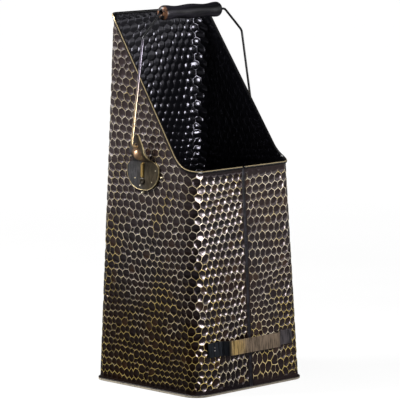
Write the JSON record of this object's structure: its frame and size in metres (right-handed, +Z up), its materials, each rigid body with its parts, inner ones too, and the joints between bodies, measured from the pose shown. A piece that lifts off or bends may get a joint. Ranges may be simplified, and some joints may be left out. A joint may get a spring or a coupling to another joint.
{
  "type": "coal scuttle",
  "caption": "Tall square-section hammered-metal coal hod with a slanted mouth, a seamed base, a tilt strap low on the front and a swinging wire bail with a turned wooden grip.",
  "frame": {"origin": "middle of the flat underside", "axes": "+Z up, -Y towards the low front of the mouth, +X to the right as seen from the front"},
  "size_m": [0.233, 0.2074, 0.5036],
  "materials": {
    "hammered_sheet": "hammered, dark gunmetal with an antique-gold rub on the ridges",
    "pan_sheet": "dark satin with a rubbed seam",
    "ear_metal": "dark antique brass, rubbed on the edges",
    "rivet_metal": "dark satin",
    "strap_metal": "brushed antique brass on the crown, dark feet",
    "bail_wire": "drawn wire, antique finish",
    "grip_wood": "black satin stain"
  },
  "bodies": {
    "hod": {"body_shell": "hammered_sheet", "base_pan": "pan_sheet", "ear_left": "ear_metal", "ear_right": "ear_metal", "ear_rivet_left": "rivet_metal", "ear_rivet_right": "rivet_metal", "tilt_strap": "strap_metal"},
    "bail": {"bail_wire": "bail_wire"},
    "handgrip": {"grip": "grip_wood"}
  },
  "joints": [
    {"name": "bail_swing", "type": "hinge", "parent": "hod", "child": "bail", "pos_m": [0, 0.009, 0.321], "axis": [1, 0, 0], "range_deg": [-15, 135.5]},
    {"name": "grip_spin", "type": "hinge", "parent": "bail", "child": "handgrip", "pos_m": [0, 0.01201, 0.49347], "axis": [1, 0, 0], "continuous": true}
  ]
}
